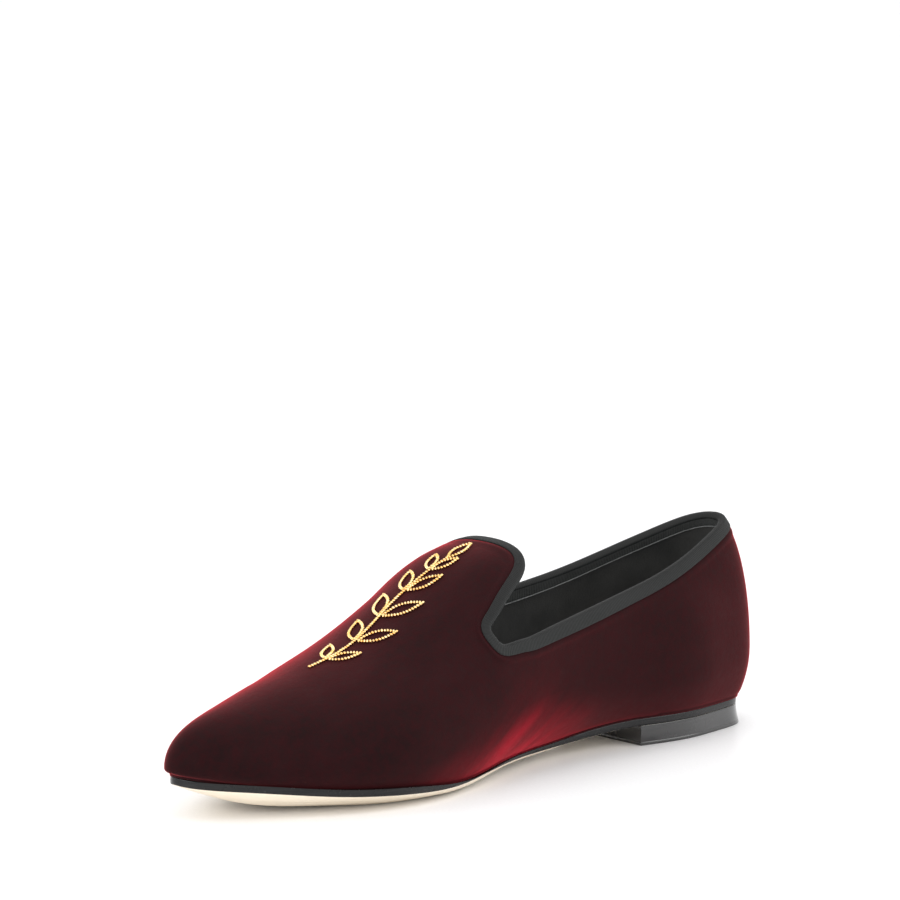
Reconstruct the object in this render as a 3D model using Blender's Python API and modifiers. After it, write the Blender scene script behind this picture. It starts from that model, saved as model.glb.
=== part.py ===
"""Velvet slipper loafer for the right foot: upper, topline binding, insole, outsole and heel.

The toe points along -Y and the big-toe side is +X. The origin is on the floor in the middle of the heel.
Stations run from 0 at the back of the shoe to 1 at the tip of its toe.
"""

import math

import bmesh
import bpy
import numpy as np

MM = 0.001

# Driving sizes
LENGTH = 258 * MM
BALL_WIDTH = 80 * MM
INSTEP_HEIGHT = 79 * MM
BACK_HEIGHT = 76 * MM
HEEL_HEIGHT = 7.2 * MM
HEEL_LENGTH = 62 * MM
TOE_SPRING = 13 * MM
SOLE_ROUND = 7 * MM
ARCH_RISE = 3 * MM
BELLY_HEIGHT = 18 * MM
UNDERCUT = 12 * MM
TOE_SWING = 0.5 * MM

# Radii of the last's ends, seen from above and from the side
BACK_RADIUS = 26 * MM
TOE_RADIUS = 7 * MM
BACK_CURVE_RADIUS = 220 * MM
NOSE_RADIUS = 12 * MM

# Thicknesses
WALL = 1.8 * MM
SOLE_THICKNESS = 2.7 * MM
SOLE_MARGIN = 2.5 * MM
INSOLE_THICKNESS = 2.5 * MM
TAPE_THICKNESS = 0.5 * MM
TAPE_WIDTH = 5.5 * MM
TAPE_FOLD = 0.3 * MM
HEEL_EDGE_ROUND = 0.4 * MM
GAP = 0.3 * MM
INSOLE_GAP = 0.6 * MM
TAPE_GAP = 0.35 * MM

# Mesh fineness
RIBS = 44
SKIRT_ROWS = 4
DOME_ROWS = 11
PLATE_ROWS = 34
PLATE_COLUMNS = 12
HEEL_STEPS = 16
OUTLINE_STEPS = 600
RIB_SAMPLES = 300
SMOOTH_ANGLE = math.radians(40)

# Handle that squares a rib to the tape: its share of the rib's length, and its longest length
SQUARE_SHARE = 0.36
SQUARE_REACH = 14 * MM

HEEL_CENTRE = HEEL_LENGTH / 2
TAPE_RISE = TAPE_GAP + TAPE_FOLD + TAPE_THICKNESS


def table(names, rows):
    """Columns of a table by name."""
    return dict(zip(names.split(), np.array(rows, float).T))


# Half-widths of the widest outline, as shares of BALL_WIDTH
PLAN = table("station medial lateral", [
    (0.06, 0.257, 0.257),
    (0.14, 0.330, 0.338),
    (0.27, 0.347, 0.354),
    (0.42, 0.370, 0.411),
    (0.55, 0.445, 0.482),
    (0.65, 0.497, 0.512),
    (0.74, 0.500, 0.490),
    (0.83, 0.411, 0.384),
    (0.91, 0.268, 0.250),
    (0.97, 0.133, 0.126),
])

# Underside of the sole along its middle: shares of HEEL_HEIGHT and TOE_SPRING.
# It is level over the heel, behind the first row, and the floor flattens what would lie below it.
TREAD = table("station heel spring", [
    (0.25, 1.00, 0.00),
    (0.32, 0.75, 0.00),
    (0.40, 0.42, 0.00),
    (0.50, 0.27, 0.00),
    (0.60, 0.00, -0.04),
    (0.70, 0.00, -0.18),
    (0.80, 0.00, 0.01),
    (0.90, 0.00, 0.27),
    (1.00, 0.00, 1.00),
])

# How far the sole's edges lift above its middle: shares of SOLE_ROUND, and of ARCH_RISE on the medial side
EDGE_LIFT = table("station round arch", [
    (0.25, 0.00, 0.00),
    (0.32, 0.06, 0.90),
    (0.40, 0.22, 1.15),
    (0.50, 0.38, 0.30),
    (0.60, 0.45, 0.10),
    (0.70, 1.05, 0.10),
    (0.80, 1.00, 0.00),
    (0.90, 0.95, 0.00),
    (1.00, 0.00, 0.00),
])

# Height of the widest line above the sole, as a share of BELLY_HEIGHT
BELLY = table("station height", [
    (0.00, 1.00),
    (0.10, 0.92),
    (0.20, 0.935),
    (0.30, 1.00),
    (0.40, 1.06),
    (0.50, 1.02),
    (0.60, 0.79),
    (0.70, 0.64),
    (0.80, 0.495),
    (0.90, 0.30),
    (1.00, 0.08),
])

# Ridge of the closed last above the floor, as a share of INSTEP_HEIGHT, and how boxy its sections are.
# Behind the throat the ridge is only a guide: the quarters stop below it.
RIDGE = table("station height boxy", [
    (0.04, 0.97, 0.00),
    (0.09, 1.00, 0.00),
    (0.20, 0.93, 0.00),
    (0.30, 0.93, 0.08),
    (0.40, 0.99, 0.36),
    (0.50, 0.958, 0.63),
    (0.60, 0.796, 0.20),
    (0.70, 0.626, -0.05),
    (0.80, 0.524, -0.15),
    (0.90, 0.445, -0.10),
    (1.00, 0.24, 0.00),
])

# How far the upper turns in from its widest line down to the sole, as shares of UNDERCUT
TURN_IN = table("station medial lateral", [
    (0.00, 0.30, 0.30),
    (0.15, 0.54, 0.34),
    (0.27, 0.87, 0.38),
    (0.42, 1.03, 0.46),
    (0.55, 0.62, 0.38),
    (0.68, 0.34, 0.29),
    (0.85, 0.27, 0.25),
    (1.00, 0.12, 0.12),
])

# How far the sole stands out from the upper's lower edge, as a share of SOLE_MARGIN
SOLE_EDGE = table("station margin", [
    (0.00, -0.40),
    (0.25, -0.08),
    (0.42, 0.12),
    (0.60, 0.58),
    (0.80, 0.80),
    (0.93, 0.50),
    (1.00, -0.30),
])

# Height of the quarters' finished edge, as a share of BACK_HEIGHT
QUARTERS = table("station medial lateral", [
    (0.00, 1.025, 1.025),
    (0.06, 0.965, 0.965),
    (0.13, 0.884, 0.890),
    (0.24, 0.782, 0.785),
    (0.30, 0.745, 0.742),
    (0.37, 0.706, 0.692),
    (0.48, 0.648, 0.633),
    (0.55, 0.610, 0.604),
])

# Throat and tongue: share along the rib fan, station, and angle round the section from the widest line
THROAT = table("rib station angle", [
    (0.515, 0.508, 19.7),
    (0.540, 0.531, 22.3),
    (0.556, 0.543, 25.6),
    (0.571, 0.550, 30.5),
    (0.590, 0.5515, 33.8),
    (0.620, 0.541, 34.9),
    (0.670, 0.513, 37.3),
    (0.735, 0.481, 41.7),
    (0.790, 0.461, 48.0),
    (0.845, 0.451, 57.0),
    (0.920, 0.450, 71.0),
    (1.000, 0.453, 90.0),
])

# Ribs where the quarters' edge hands over to the throat's
HANDOVER = (0.37, 0.41, 0.45, 0.48)

# Width of the tape along the rib fan, as a share of TAPE_WIDTH: it narrows where it turns the throat's corner
TAPE = table("rib share", [
    (0.00, 1.00),
    (0.30, 1.00),
    (0.47, 1.00),
    (0.54, 0.78),
    (0.58, 0.68),
    (0.64, 0.76),
    (0.75, 0.79),
    (0.85, 0.80),
    (1.00, 0.80),
])

UPPER_VELVET = (0.035, 0.006, 0.010)
TAPE_CHARCOAL = (0.035, 0.036, 0.036)
LINING_BLACK = (0.012, 0.012, 0.013)
SOLE_CREAM = (0.80, 0.72, 0.60)
HEEL_BLACK = (0.020, 0.020, 0.022)


def spline(xs, ys, at):
    """Natural cubic spline through the points, read at the given places."""
    count = len(xs)
    step = np.diff(xs)
    slope = np.diff(ys) / step
    matrix = np.eye(count)
    right = np.zeros(count)
    for row in range(1, count - 1):
        matrix[row, row - 1] = step[row - 1]
        matrix[row, row] = 2 * (step[row - 1] + step[row])
        matrix[row, row + 1] = step[row]
        right[row] = 6 * (slope[row] - slope[row - 1])
    bend = np.linalg.solve(matrix, right)
    at = np.clip(np.asarray(at, float), xs[0], xs[-1])
    left = np.clip(np.searchsorted(xs, at) - 1, 0, count - 2)
    after = at - xs[left]
    before = xs[left + 1] - at
    width = step[left]
    cubic = (bend[left] * before ** 3 + bend[left + 1] * after ** 3) / (6 * width)
    start = ys[left] / width - bend[left] * width / 6
    end = ys[left + 1] / width - bend[left + 1] * width / 6
    return cubic + start * before + end * after


def read(rows, name, station):
    return spline(rows["station"], rows[name], station)


def round_ended(station):
    """Half-circle factor, 0 at both ends and 1 in the middle, that rounds the ends of a profile."""
    return np.sqrt(np.clip(4 * station * (1 - station), 0, None))


def round_ended_spline(stations, values, back_radius, front_radius, at):
    """Profile through the values that ends in the two radii."""
    inside = values / round_ended(stations)
    back = math.sqrt(back_radius * LENGTH / 2)
    front = math.sqrt(front_radius * LENGTH / 2)
    knots = np.r_[0, stations, 1]
    return round_ended(at) * spline(knots, np.r_[back, inside, front], at)


def half_width(side, station):
    """Half-width of the widest outline on one side, +1 medial or -1 lateral."""
    column = "medial" if side > 0 else "lateral"
    return round_ended_spline(PLAN["station"], PLAN[column] * BALL_WIDTH, BACK_RADIUS, TOE_RADIUS, station)


def centre_line(station):
    """The middle of the shoe swings a little towards the big toe, ahead of the waist."""
    return TOE_SWING * np.clip(2 * station - 1, 0, None) ** 2


def along(station):
    return HEEL_CENTRE - station * LENGTH


def station_of(y):
    return (HEEL_CENTRE - y) / LENGTH


def across(x, station):
    """Place across the shoe: 0 on the centre line, +1 and -1 on the medial and lateral outline."""
    offset = x - centre_line(station)
    reach = np.where(offset > 0, half_width(1, station), half_width(-1, station))
    return np.clip(offset / np.maximum(reach, MM), -1, 1)


def tread_height(x, station):
    """Underside of the outsole above the floor."""
    place = across(x, station)
    flat_share = 0.3
    edge = np.clip((abs(place) - flat_share) / (1 - flat_share), 0, None) ** 2
    middle = HEEL_HEIGHT * read(TREAD, "heel", station) + TOE_SPRING * read(TREAD, "spring", station)
    lift = SOLE_ROUND * read(EDGE_LIFT, "round", station)
    arch = ARCH_RISE * read(EDGE_LIFT, "arch", station) * (place > 0)
    return np.maximum(0, middle + (lift + arch) * edge)


def widest_height(side, station):
    """Height of the widest line of the upper."""
    mean_edge = 0.7
    middle = HEEL_HEIGHT * read(TREAD, "heel", station) + TOE_SPRING * read(TREAD, "spring", station)
    lift = SOLE_ROUND * read(EDGE_LIFT, "round", station)
    if side > 0:
        lift = lift + ARCH_RISE * read(EDGE_LIFT, "arch", station)
    belly = BELLY_HEIGHT * read(BELLY, "height", station)
    return np.maximum(0, middle) + mean_edge * lift + SOLE_THICKNESS + belly


def last_height(x, station):
    """Top of the closed last: a dome over each station, between the two widest lines."""
    place = across(x, station)
    medial = widest_height(1, station)
    lateral = widest_height(-1, station)
    knots = RIDGE["station"][:-1]
    knot_middle = (widest_height(1, knots) + widest_height(-1, knots)) / 2
    rise = INSTEP_HEIGHT * RIDGE["height"][:-1] - knot_middle
    dome = round_ended_spline(knots, rise, BACK_CURVE_RADIUS, NOSE_RADIUS, station)
    circle = np.sqrt(1 - place ** 2)
    boxy = read(RIDGE, "boxy", station)
    section = (1 + boxy) * circle - boxy * circle ** 2
    return (medial + lateral) / 2 + (medial - lateral) / 2 * place + dome * section


def outline(side, share):
    """Point and outward direction on the widest outline, at a share of its arc from back to toe."""
    stations = (1 - np.cos(np.pi * np.linspace(0, 1, OUTLINE_STEPS + 1))) / 2
    x = centre_line(stations) + side * half_width(side, stations)
    y = along(stations)
    arc = np.r_[0, np.cumsum(np.hypot(np.diff(x), np.diff(y)))]
    arc = arc / arc[-1]
    run_x = np.interp(share, arc, np.gradient(x, arc))
    run_y = np.interp(share, arc, np.gradient(y, arc))
    at_end = (share <= 0) | (share >= 1)
    run_x = np.where(at_end, side * np.where(share <= 0, 1, -1), run_x)
    run_y = np.where(at_end, 0, run_y)
    size = np.hypot(run_x, run_y)
    point = np.stack([np.interp(share, arc, x), np.interp(share, arc, y)], -1)
    return point, np.stack([-run_y, run_x], -1) * (side / size)[..., None]


def turned_in(side, share, less=0.0):
    """Plan point of the upper's lower edge, or of an outline that lies outside it by the given length."""
    point, outward = outline(side, share)
    column = "medial" if side > 0 else "lateral"
    inset = UNDERCUT * read(TURN_IN, column, station_of(point[..., 1])) - less
    return point - outward * inset[..., None]


def sole_outline(side, share):
    point, _ = outline(side, share)
    return turned_in(side, share, SOLE_MARGIN * read(SOLE_EDGE, "margin", station_of(point[..., 1])))


def quarters_topline(side, share):
    """Where each rib's inward path meets the height of the quarters' edge."""
    point, outward = outline(side, share)
    column = "medial" if side > 0 else "lateral"
    near = np.zeros_like(share)
    far = np.full_like(share, half_width(-1, 0.1))
    for _ in range(30):
        depth = (near + far) / 2
        place = point - outward * depth[..., None]
        station = station_of(place[..., 1])
        below = last_height(place[..., 0], station) < BACK_HEIGHT * read(QUARTERS, column, station)
        near = np.where(below, depth, near)
        far = np.where(below, far, depth)
    return place


def topline(side, share):
    """Plan point of the finished edge at a rib: quarters, then the throat's corner, then the tongue."""
    share = np.asarray(share, float)
    handover = np.array(HANDOVER)
    rear = quarters_topline(side, np.minimum(share, handover[-1]))
    joined = quarters_topline(side, handover)
    joined_station = station_of(joined[:, 1])
    throat = np.cos(np.radians(THROAT["angle"])) * half_width(side, THROAT["station"])
    beyond = slice(-2, -5, -1)
    ribs = np.r_[handover, THROAT["rib"], 2 - THROAT["rib"][beyond]]
    stations = np.r_[joined_station, THROAT["station"], THROAT["station"][beyond]]
    offsets = np.r_[side * (joined[:, 0] - centre_line(joined_station)), throat, -throat[beyond]]
    station = spline(ribs, stations, share)
    x = centre_line(station) + side * spline(ribs, offsets, share)
    front = np.stack([x, along(station)], -1)
    blend = np.clip((share - handover[0]) / (handover[-1] - handover[0]), 0, 1)
    blend = (blend ** 2 * (3 - 2 * blend))[..., None]
    return rear * (1 - blend) + front * blend


def on_side(turn, read_side):
    """A reading of both sides, as one loop.

    Turns run from 0 at the back, over 1 at the toe, to 2 at the back again.
    """
    turn = np.mod(turn, 2)
    medial = read_side(1, np.minimum(turn, 1))
    lateral = read_side(-1, np.minimum(2 - turn, 1))
    return np.where((turn <= 1)[..., None], medial, lateral)


def lifted(plan):
    """Plan points raised onto the closed last."""
    return np.concatenate([plan, last_height(plan[..., 0], station_of(plan[..., 1]))[..., None]], -1)


def unit(vectors):
    return vectors / np.linalg.norm(vectors, axis=-1, keepdims=True)


def edge_frame(turn):
    """At the finished edge: the point, the way down the wall, and the way out of it."""
    step = 1e-3
    top = lifted(on_side(turn, topline))
    run = unit(lifted(on_side(turn + step, topline)) - lifted(on_side(turn - step, topline)))
    side_step = np.array([0.05 * MM, 0])
    front_step = np.array([0, 0.05 * MM])
    plan = top[..., :2]
    slope_x = lifted(plan + side_step) - lifted(plan - side_step)
    slope_y = lifted(plan + front_step) - lifted(plan - front_step)
    out = unit(np.cross(slope_x, slope_y))
    return top, unit(np.cross(out, run)), out


def below_topline(turn, depth):
    """Point on the outside of the upper, straight down the wall from the finished edge."""
    top, down, out = edge_frame(turn)
    flat = top + down * np.broadcast_to(depth, np.shape(turn))[..., None]
    inside = np.full(flat.shape[:-1], -3 * MM)
    outside = -inside
    for _ in range(30):
        shift = (inside + outside) / 2
        place = flat + out * shift[..., None]
        under = place[..., 2] < last_height(place[..., 0], station_of(place[..., 1]))
        inside = np.where(under, shift, inside)
        outside = np.where(under, outside, shift)
    return flat + out * shift[..., None]


def tape_width(turn):
    fold = np.mod(turn, 2)
    return TAPE_WIDTH * spline(TAPE["rib"], TAPE["share"], np.minimum(fold, 2 - fold))


def dome_plan(turn, level):
    """Plan of the ribs, from the widest outline to the tape's lower edge, which they meet square to it."""
    start = on_side(turn, lambda side, share: outline(side, share)[0])
    end = below_topline(turn, tape_width(turn))[..., :2]
    down = edge_frame(turn)[1][..., :2]
    reach = np.linalg.norm(end - start, axis=-1, keepdims=True)
    leave = (2 * start + end) / 3
    arrive = end + down * np.minimum(reach * SQUARE_SHARE, SQUARE_REACH)
    share = np.clip(level, 0, 1)[..., None] ** 2
    rest = 1 - share
    return rest ** 3 * start + 3 * rest ** 2 * share * leave + 3 * rest * share ** 2 * arrive + share ** 3 * end


def surface(turn, level):
    """Outside of the upper: level -1 is its lower edge, 0 its widest line and 1 the tape's lower edge."""
    level = np.asarray(level, float)
    dome = lifted(dome_plan(turn, level))
    point = on_side(turn, lambda side, share: outline(side, share)[0])
    low = on_side(turn, turned_in)
    drop = np.where(level < 0, level, 0) ** 2
    widest = lifted(point)
    foot = tread_height(low[..., 0], station_of(low[..., 1])) + SOLE_THICKNESS + GAP
    skirt_plan = point + (low - point) * drop[..., None]
    skirt_height = widest[..., 2] + (widest[..., 2] - foot) * level
    skirt = np.concatenate([skirt_plan, skirt_height[..., None]], -1)
    return np.where((level < 0)[..., None], skirt, dome)


def bends(path):
    """How far a path has turned at each of its points, as a share of all its turning."""
    heading = unit(np.diff(path, axis=0))
    turned = np.arccos(np.clip(np.sum(heading[1:] * heading[:-1], -1), -1, 1))
    total = np.r_[0, 0, np.cumsum(turned)]
    return np.r_[total[:-1], total[-1]][:len(path)] / total[-1]


def rib_turns():
    """Turns of the ribs, closer together where the outline or the finished edge bends."""
    fine = np.linspace(0, 1, RIB_SAMPLES + 1)
    along_both = fine + bends(outline(1, fine)[0]) + bends(lifted(topline(1, fine)))
    half = np.interp(np.arange(RIBS) / RIBS, along_both / along_both[-1], fine)
    return np.r_[half, 1, 2 - half[:0:-1]]


def mesh_object(name, points, faces, material, collection):
    mesh = bpy.data.meshes.new(name)
    mesh.from_pydata([tuple(point) for point in points], [], faces)
    mesh.materials.append(material)
    mesh.shade_smooth()
    mesh.set_sharp_from_angle(angle=SMOOTH_ANGLE)
    obj = bpy.data.objects.new(name, mesh)
    collection.objects.link(obj)
    return obj


def grid_faces(rows, columns, closed_rows, closed_columns):
    """Quads of a grid of points, numbered row by row."""
    faces = []
    for row in range(rows if closed_rows else rows - 1):
        for column in range(columns if closed_columns else columns - 1):
            next_row = (row + 1) % rows
            next_column = (column + 1) % columns
            faces.append((
                row * columns + column,
                row * columns + next_column,
                next_row * columns + next_column,
                next_row * columns + column,
            ))
    return faces


def material(name, colour, roughness, metallic=0.0):
    made = bpy.data.materials.new(name)
    made.use_nodes = True
    shader = made.node_tree.nodes["Principled BSDF"]
    shader.inputs["Base Color"].default_value = (*colour, 1.0)
    shader.inputs["Roughness"].default_value = roughness
    shader.inputs["Metallic"].default_value = metallic
    return made


def build_upper(collection):
    """Velvet shell: an open loft of ribs, thickened inwards by its wall."""
    turns = rib_turns()
    skirt = np.linspace(-1, 0, SKIRT_ROWS + 1)[:-1]
    levels = np.r_[skirt, np.linspace(0, 1, DOME_ROWS + 1)]
    top = below_topline(turns, TAPE_RISE)
    points = np.concatenate([surface(turns[:, None], levels[None, :]), top[:, None]], 1)
    faces = grid_faces(len(turns), points.shape[1], True, False)
    velvet = material("velvet", UPPER_VELVET, 0.85)
    obj = mesh_object("upper", points.reshape(-1, 3), faces, velvet, collection)
    shell = obj.modifiers.new("wall", "SOLIDIFY")
    shell.thickness = WALL
    shell.offset = -1
    return obj


def tape_section():
    """Section of the folded tape: level below the wall's top as 0 or 1, height over it, and place through it."""
    inner_reach = WALL / 2 + TAPE_GAP
    outer_reach = inner_reach + TAPE_THICKNESS
    inner_height = TAPE_RISE - TAPE_THICKNESS
    shoulder = 0.7 * inner_reach
    section = [(1, 0, outer_reach)]
    for angle in np.linspace(0, math.pi, 5):
        section.append((0, TAPE_RISE * math.sin(angle), outer_reach * math.cos(angle)))
    section += [(1, 0, -outer_reach), (1, 0, -inner_reach), (0, 0, -inner_reach)]
    section += [(0, inner_height, -shoulder), (0, inner_height, shoulder), (0, 0, inner_reach), (1, 0, inner_reach)]
    return section


def build_binding(collection):
    """Ribbed tape folded over the upper's edge, all the way round it."""
    turns = rib_turns()
    _, down, out = edge_frame(turns)
    top = below_topline(turns, TAPE_RISE)
    low = below_topline(turns, tape_width(turns))
    loops = []
    for below, height, place in tape_section():
        through = out * (place - WALL / 2)
        loops.append(low + through if below else top - down * height + through)
    points = np.array(loops)
    faces = grid_faces(points.shape[0], points.shape[1], True, True)
    tape = material("ribbed_tape", TAPE_CHARCOAL, 0.55)
    obj = mesh_object("topline_binding", points.reshape(-1, 3), faces, tape, collection)
    face_outward(obj)
    return obj


def eased(even):
    """Even steps from 0 to 1, drawn closer together at both ends."""
    return (even + (1 - np.cos(np.pi * even)) / 2) / 2


def plate_points(medial, lateral, height):
    """Grid of a plate between its two edges, as cross rows from the back to the toe."""
    share = eased(np.linspace(0, 1, PLATE_COLUMNS + 1))[None, :, None]
    plan = lateral[:, None] * (1 - share) + medial[:, None] * share
    z = height(plan[..., 0], station_of(plan[..., 1]))
    return np.concatenate([plan, z[..., None]], -1)


def build_plate(name, edge, underside, thickness, made_of, collection):
    """Thin solid between an underside and the same surface lifted by a thickness."""
    shares = eased(np.linspace(0, 1, PLATE_ROWS + 1))[1:-1]
    grid = plate_points(edge(1, shares), edge(-1, shares), underside)
    ends = edge(1, np.array([0.0, 1.0]))
    tips = np.c_[ends, underside(ends[:, 0], station_of(ends[:, 1]))]
    under = np.vstack([grid.reshape(-1, 3), tips])
    over = under + np.array([0, 0, thickness])
    rows, across_count = grid.shape[:2]
    back, front = rows * across_count, rows * across_count + 1
    flat = grid_faces(rows, across_count, False, False)
    last = (rows - 1) * across_count
    flat += [(back, column + 1, column) for column in range(across_count - 1)]
    flat += [(front, last + column, last + column + 1) for column in range(across_count - 1)]
    rim = [back] + [row * across_count + across_count - 1 for row in range(rows)]
    rim += [front] + [row * across_count for row in reversed(range(rows))]
    count = len(under)
    faces = [tuple(face) for face in flat]
    faces += [tuple(index + count for index in reversed(face)) for face in flat]
    for first, second in zip(rim, rim[1:] + rim[:1]):
        faces.append((first, second, second + count, first + count))
    obj = mesh_object(name, np.vstack([under, over]), faces, made_of, collection)
    face_outward(obj)
    return obj


def face_outward(obj):
    work = bmesh.new()
    work.from_mesh(obj.data)
    bmesh.ops.recalc_face_normals(work, faces=work.faces)
    work.to_mesh(obj.data)
    work.free()


def build_outsole(collection):
    leather = material("sole_leather", SOLE_CREAM, 0.45)
    return build_plate("outsole", sole_outline, tread_height, SOLE_THICKNESS, leather, collection)


def build_insole(collection):
    """Padded sock on the outsole, clear of the upper's wall all round."""
    lining = material("insole_leather", LINING_BLACK, 0.6)

    def edge(side, share):
        return turned_in(side, share, -(WALL + GAP))

    def underside(x, station):
        return tread_height(x, station) + SOLE_THICKNESS + INSOLE_GAP

    return build_plate("insole", edge, underside, INSOLE_THICKNESS, lining, collection)


def build_heel(collection):
    """Block under the heel seat: the sole's own outline, cut straight across at the breast."""
    breast = HEEL_CENTRE - HEEL_LENGTH
    shares = np.linspace(0, 0.3, HEEL_STEPS)
    sides = []
    for side in (1, -1):
        edge = sole_outline(side, shares)
        kept = edge[edge[:, 1] > breast]
        x = np.interp(-breast, -edge[:, 1], edge[:, 0])
        sides.append(np.vstack([kept, [x, breast]]))
    medial, lateral = sides
    loop = np.vstack([medial[::-1], lateral[1:]])
    curve = bpy.data.curves.new("heel", "CURVE")
    curve.dimensions = "2D"
    curve.fill_mode = "BOTH"
    curve.extrude = (HEEL_HEIGHT - GAP) / 2
    spline_2d = curve.splines.new("POLY")
    spline_2d.points.add(len(loop) - 1)
    for point, place in zip(spline_2d.points, loop):
        point.co = (place[0], place[1], 0, 1)
    spline_2d.use_cyclic_u = True
    obj = bpy.data.objects.new("heel", curve)
    obj.location.z = (HEEL_HEIGHT - GAP) / 2
    collection.objects.link(obj)
    curve.materials.append(material("heel_block", HEEL_BLACK, 0.25))
    weld = obj.modifiers.new("close_caps", "WELD")
    weld.merge_threshold = 0.00001
    rounded = obj.modifiers.new("round_edges", "BEVEL")
    rounded.width = HEEL_EDGE_ROUND
    rounded.segments = 1
    rounded.limit_method = "ANGLE"
    rounded.angle_limit = SMOOTH_ANGLE
    return obj


def main():
    for obj in list(bpy.data.objects):
        bpy.data.objects.remove(obj)
    shoe = bpy.data.collections.new("velvet_slipper_loafer")
    bpy.context.scene.collection.children.link(shoe)
    build_upper(shoe)
    build_binding(shoe)
    build_insole(shoe)
    build_outsole(shoe)
    build_heel(shoe)


main()
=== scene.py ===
"""Velvet slipper loafer for the right foot: the visible surfaces, floor, lights and camera.

Stations run from 0 at the back of the shoe to 1 at the tip of its toe.
The toe points along -Y, and +X is medial.
Turns run round the shoe: 0 at the back, over 1 at the toe on the medial side, to 2 at the back again.
"""

import math

import bmesh
import bpy
import numpy as np
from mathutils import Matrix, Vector


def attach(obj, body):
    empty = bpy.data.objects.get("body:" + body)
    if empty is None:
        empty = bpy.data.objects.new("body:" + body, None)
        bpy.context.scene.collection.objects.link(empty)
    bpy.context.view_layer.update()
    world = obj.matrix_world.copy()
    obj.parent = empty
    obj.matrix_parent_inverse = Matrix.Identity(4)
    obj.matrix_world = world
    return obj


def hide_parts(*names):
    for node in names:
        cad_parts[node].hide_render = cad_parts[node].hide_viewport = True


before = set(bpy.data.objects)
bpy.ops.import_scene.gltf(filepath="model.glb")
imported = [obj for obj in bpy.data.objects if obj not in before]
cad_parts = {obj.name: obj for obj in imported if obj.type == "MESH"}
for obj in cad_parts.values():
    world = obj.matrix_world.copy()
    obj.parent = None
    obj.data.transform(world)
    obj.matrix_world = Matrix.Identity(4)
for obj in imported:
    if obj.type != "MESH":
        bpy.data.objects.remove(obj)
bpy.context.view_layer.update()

MM = 0.001

# Driving sizes
LENGTH = 258 * MM
BALL_WIDTH = 80 * MM
INSTEP_HEIGHT = 79 * MM
BACK_HEIGHT = 76 * MM
HEEL_HEIGHT = 7.2 * MM
HEEL_LENGTH = 62 * MM
TOE_SPRING = 13 * MM
SOLE_ROUND = 7 * MM
ARCH_RISE = 3 * MM
BELLY_HEIGHT = 18 * MM
UNDERCUT = 12 * MM
TOE_SWING = 0.5 * MM

# Radii of the last's ends, seen from above and from the side
BACK_RADIUS = 26 * MM
TOE_RADIUS = 7 * MM
BACK_CURVE_RADIUS = 220 * MM
NOSE_RADIUS = 12 * MM

# Thicknesses
WALL = 1.8 * MM
SOLE_THICKNESS = 2.7 * MM
SOLE_MARGIN = 2.5 * MM
INSOLE_THICKNESS = 2.5 * MM
TAPE_THICKNESS = 0.5 * MM
TAPE_WIDTH = 5.5 * MM
TAPE_FOLD = 0.3 * MM
GAP = 0.3 * MM
INSOLE_GAP = 0.6 * MM
TAPE_GAP = 0.35 * MM

# Share of the sole's width that stays flat, and share of its edge's lift that the widest line follows
FLAT_SHARE = 0.3
MEAN_EDGE = 0.7

# Fineness of the outlines
OUTLINE_STEPS = 600
RIB_SAMPLES = 300
HALVINGS = 30

# Handle that squares a rib to the tape: its share of the rib's length, and its longest length
SQUARE_SHARE = 0.36
SQUARE_REACH = 14 * MM

HEEL_CENTRE = HEEL_LENGTH / 2
TAPE_RISE = TAPE_GAP + TAPE_FOLD + TAPE_THICKNESS


def table(names, rows):
    """Columns of a table by name."""
    return dict(zip(names.split(), np.array(rows, float).T))


# Half-widths of the widest outline, as shares of BALL_WIDTH
PLAN = table("station medial lateral", [
    (0.06, 0.257, 0.257),
    (0.14, 0.330, 0.338),
    (0.27, 0.347, 0.354),
    (0.42, 0.370, 0.411),
    (0.55, 0.445, 0.482),
    (0.65, 0.497, 0.512),
    (0.74, 0.500, 0.490),
    (0.83, 0.411, 0.384),
    (0.91, 0.268, 0.250),
    (0.97, 0.133, 0.126),
])

# Underside of the sole along its middle: shares of HEEL_HEIGHT and TOE_SPRING.
# It is level over the heel, behind the first row, and the floor flattens what would lie below it.
TREAD = table("station heel spring", [
    (0.25, 1, 0),
    (0.32, 0.75, 0),
    (0.40, 0.42, 0),
    (0.50, 0.27, 0),
    (0.60, 0, -0.04),
    (0.70, 0, -0.18),
    (0.80, 0, 0.01),
    (0.90, 0, 0.27),
    (1, 0, 1),
])

# How far the sole's edges lift above its middle: shares of SOLE_ROUND, and of ARCH_RISE on the medial side
EDGE_LIFT = table("station round arch", [
    (0.25, 0, 0),
    (0.32, 0.06, 0.90),
    (0.40, 0.22, 1.15),
    (0.50, 0.38, 0.30),
    (0.60, 0.45, 0.10),
    (0.70, 1.05, 0.10),
    (0.80, 1, 0),
    (0.90, 0.95, 0),
    (1, 0, 0),
])

# Height of the widest line above the sole, as a share of BELLY_HEIGHT
BELLY = table("station height", [
    (0, 1),
    (0.10, 0.92),
    (0.20, 0.935),
    (0.30, 1),
    (0.40, 1.06),
    (0.50, 1.02),
    (0.60, 0.79),
    (0.70, 0.64),
    (0.80, 0.495),
    (0.90, 0.30),
    (1, 0.08),
])

# Ridge of the closed last above the floor, as a share of INSTEP_HEIGHT, and how boxy its sections are.
# Behind the throat the ridge is only a guide: the quarters stop below it.
RIDGE = table("station height boxy", [
    (0.04, 0.97, 0),
    (0.09, 1, 0),
    (0.20, 0.93, 0),
    (0.30, 0.93, 0.08),
    (0.40, 0.99, 0.36),
    (0.50, 0.958, 0.63),
    (0.60, 0.796, 0.20),
    (0.70, 0.626, -0.05),
    (0.80, 0.524, -0.15),
    (0.90, 0.445, -0.10),
    (1, 0.24, 0),
])

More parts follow.
